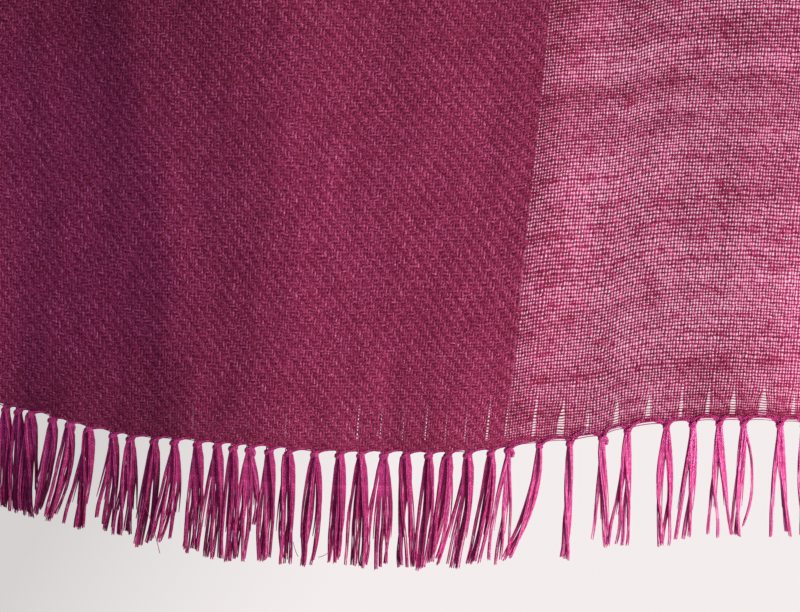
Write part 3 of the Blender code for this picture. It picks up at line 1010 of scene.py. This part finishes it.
    def tassel(self, k, row, top, single):
        """The yarns below a knot, in bundles that part and meet."""
        yarns = YARNS_SINGLE if single > 0.5 else YARNS_DOUBLE
        yarns += self.chance.choice((-1, 0, 0, 1))
        start_z = top.z - KNOT_HEIGHT * 0.55
        turns = self.chance.uniform(0.3, 0.8) if single > 0.5 else self.chance.uniform(0.1, 0.4)
        for bundle in self.bundles(k):
            count = max(round(yarns * bundle.share), 1)
            wide = (0.86 - 0.22 * single) * math.sqrt(count) * MM
            deep = 0.36 * math.sqrt(count) * MM
            # A bundle's tone differs at random, and under the lone outer layer it is painted brighter, as if
            # lit from behind
            bundle_tone_and_painted_backlight = self.chance.uniform(-0.12, 0.06) + 0.42 * single

            def middle_line(t):
                """The bundle's own line: where it hangs aside, and how far its yarns are spread."""
                aside = row.sway * t**1.5 + bundle.bulge * math.sin(math.pi * t) + bundle.end * t**1.7
                spread = 0.70 + 0.30 * smoothstep(0, 0.12, t) + 0.10 * math.sin(math.pi * t)
                return aside * MM, spread

            if count > 3:
                reach = row.reach - bundle.shorter
                # Painted shade and backlight: the hidden middle yarns are painted darker than the rest, and
                # brighter under the lone outer layer
                self.filling(top, start_z, reach, wide, middle_line, 0.25 + 0.35 * single)
            clumps = max(round(count / YARNS_IN_CLUMP), 1)
            for n in range(clumps):
                radius = 0.72 * math.sqrt((n + 0.5) / clumps) if clumps > 1 else 0
                angle = n * GOLDEN_ANGLE + self.chance.uniform(-0.3, 0.3)
                reach = (row.reach - bundle.shorter + self.chance.uniform(-2.2, 0.6)) * MM
                drift = self.chance.gauss(0, 0.9) * MM
                seed = self.chance.uniform(0, 100)

                def centre(t):
                    """The middle of this clump of yarns, aside of the knot."""
                    aside, spread = middle_line(t)
                    turned = angle + 2 * math.pi * turns * t
                    wobble = noise.noise(Vector((seed, t * 3.0, 0))) * 1.0 * MM * t
                    across = aside + radius * wide * spread * math.cos(turned) + drift * t * t + wobble
                    return across, radius * deep * spread * math.sin(turned)

                yarns_here = count // clumps + (n < count % clumps)
                tone = 0.4 + bundle_tone_and_painted_backlight + self.chance.uniform(-0.14, 0.14)
                end_z = top.z + NECK_BELOW_HEM - reach
                self.clump(top, start_z, end_z, yarns_here, centre, tone)

    def hair(self, row):
        """A single curved fibre, in front of the tassels."""
        path = []
        y = self.stretch.point(1, RETURN_WIDTH * 0.6, 0).y + self.outward * 1.5 * MM
        for step in range(9):
            t = step / 8
            x = FOLD_X + (row.start_x + (row.end_x - row.start_x) * t) * MM
            down = row.start_down + (row.end_down - row.start_down) * t
            down += row.sag * (1 - (2 * t - 1) ** 2)
            path.append(Vector((x, y, -FRONT_DROP - down * MM)))
        self.work.lay(path, [HAIR] * 9, 0.0, self.outward)

    def make(self, name, material):
        knots = [self.place(across) - Vector((0, 0, NECK_BELOW_HEM)) for across in self.stretch.knots]
        singles = [alone(across) for across in self.stretch.knots]
        for k, (row, top, single) in enumerate(zip(TASSELS, knots, singles)):
            self.fan(k, top)
            self.knot(k, top, row.sway / row.reach, single)
            self.tassel(k, row, top, single)
        for left, right, single in zip(knots, knots[1:], singles):
            self.loose_wefts(left, right, single)
        if self.outward < 0:
            for row in HAIRS:
                self.hair(row)
        return self.work.object(name, material)


def beech_finish():
    """Sanded beech: pale, with short darker flecks along the grain."""
    f = Finish("sanded_beech", 0.5)
    place = f.node("TexCoord", {}, {}, "Object")
    x, y, z = f.parts(place)
    grain = f.noise(f.place(x * 6, y * 220, z * 220), 3.0, 0.6)
    flecks = f.noise(f.place(x * 90, y * 700, z * 700), 0.0).eased(0.62, 0.72)
    dark, middle, pale = (0.36, 0.21, 0.105), (0.50, 0.32, 0.175), (0.62, 0.43, 0.26)
    colour = f.ramp(grain, [(0.30, dark), (0.50, middle), (0.75, pale)])
    flecked = f.blend(flecks * 0.55, colour, (0.24, 0.125, 0.055, 1))
    f.feed(f.shader, {"Base Color": flecked, "Roughness": 0.42 + grain * 0.2})
    f.raise_by(grain - flecks * 0.4, 0.00015, 0.5)
    return f.material


def dress_cloth():
    twill = twill_finish()
    knots = front_knot_places()
    front_rows = row_shares(FRONT_DROP, FRONT_ROW_STEPS)
    turn_rows = [n / TURN_ROWS for n in range(TURN_ROWS + 1)]
    back_rows = row_shares(BACK_DROP, BACK_ROW_STEPS)
    front = Stretch(front_point, FRONT_DROP, knots, front_rows, 4, 0, 1, True)
    turn = Stretch(turn_point, TURN_LENGTH, knots, turn_rows, 1, FRONT_WEFTS, 1, False)
    back = Stretch(back_point, BACK_DROP, back_knot_places(), back_rows, 2, ALL_WEFTS, -1, True)
    outer_width = FRONT_WIDTH + FOLD_ALLOWANCE
    for stretch, outer_node, return_node in (
        (front, "front_fall", "front_return"),
        (turn, "turn_outer", "turn_return"),
        (back, "back_fall", "back_return"),
    ):
        for make, node, width in (
            (outer_sheet, outer_node, outer_width),
            (return_sheet, return_node, RETURN_WIDTH),
        ):
            piece = make(node + "_cloth", stretch)
            piece.data.materials.append(twill)
            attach(piece, "root")
            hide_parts(node)
    return front, back


def dress_fringes(front, back):
    yarn = yarn_finish()
    for stretch, node, outward, steps, seed in (
        (front, "front_fringe", -1, 15, 11),
        (back, "back_fringe", 1, 12, 23),
    ):
        piece = Fringe(stretch, outward, steps, seed).make(node + "_yarn", yarn)
        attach(piece, "root")
        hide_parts(node)


def dress_rail():
    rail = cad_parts["rail"]
    rail.data.materials.clear()
    rail.data.materials.append(beech_finish())


def set_camera():
    lens = bpy.data.cameras.new("camera")
    lens.sensor_width = SENSOR
    lens.lens = SENSOR * CAMERA_AWAY / PICTURE_WIDTH
    lens.clip_start = 0.05
    camera = add_object("camera", lens)
    cloth_y = -0.018
    camera.location = (PICTURE_X, cloth_y - CAMERA_AWAY, PICTURE_Z)
    camera.rotation_euler = (math.radians(90), 0, 0)
    bpy.context.scene.camera = camera


def place_light(name, lamp, place, target):
    made = add_object(name, lamp)
    made.location = place
    made.rotation_euler = (Vector(target) - Vector(place)).to_track_quat("-Z", "Y").to_euler()


def area_light(name, place, target, width, power, colour):
    lamp = bpy.data.lights.new(name, "AREA")
    lamp.shape = "SQUARE"
    lamp.size = width
    lamp.energy = power
    lamp.color = colour
    place_light(name, lamp, place, target)


def spot_light(name, place, target, spread, power, colour):
    """A soft-edged pool of light: spread is its full angle in degrees."""
    lamp = bpy.data.lights.new(name, "SPOT")
    lamp.spot_size = math.radians(spread)
    lamp.spot_blend = 1
    lamp.shadow_soft_size = 0.1
    lamp.energy = power
    lamp.color = colour
    place_light(name, lamp, place, target)


def set_studio():
    """A pale backdrop, darker to the lower left, window light from the right and weaker lights around."""
    bpy.context.scene.view_settings.view_transform = "Standard"
    world = bpy.data.worlds.new("studio")
    world.use_nodes = True
    bpy.context.scene.world = world
    n = Nodes(world.node_tree)
    x, y, z = n.parts(n.node("TexCoord", {}, {}, "Generated"))
    ahead = y.most(0.2)
    shade = ((-0.03 - x / ahead + (z / ahead + 0.116) * 0.6) / 0.13).held() ** 1.3
    pale = n.blend(shade, (0.895, 0.850, 0.845, 1), (0.665, 0.640, 0.640, 1))
    backdrop = n.node("Background", {}, {"Color": pale})
    fill = n.node("Background", {}, {"Color": (0.098, 0.085, 0.108, 1)})
    seen = n.node("LightPath", {}, {}, "Is Camera Ray")
    mix = n.node("MixShader", {}, {0: seen, 1: fill, 2: backdrop})
    n.feed(world.node_tree.nodes["World Output"], {"Surface": mix})
    area_light("window_light", (1.00, -0.32, -1.40), (0, 0, -1.40), 0.5, 15.2, (1.0, 0.99, 0.97))
    area_light("table_light", (0.60, -0.35, -1.70), (0, 0, -1.45), 0.4, 5.5, (1.0, 0.99, 0.97))
    area_light("hem_light", (0.16, -0.60, -1.85), (0.04, 0, -1.49), 0.3, 0.5, (1.0, 0.94, 0.98))
    area_light("sky_light", (-1.10, -0.60, -1.10), (0, 0, -1.30), 0.6, 0.45, (0.48, 0.42, 1.0))
    sky_on_fold = (FOLD_X + 0.026, 0, PICTURE_Z + 0.042)
    spot_light("sky_pool", (-1.10, -0.60, -1.25), sky_on_fold, 8, 60, (0.42, 0.42, 1.0))
    spot_light("high_light", (0.80, -1.40, -0.10), (0, 0, -0.42), 38, 45, (1.0, 0.99, 0.98))
    area_light("back_light", (-0.9, 1.9, 0.60), (0, 0, -0.6), 1.2, 42, (1.0, 0.99, 0.98))


set_camera()
set_studio()
front, back = dress_cloth()
dress_fringes(front, back)
dress_rail()

bpy.context.view_layer.update()
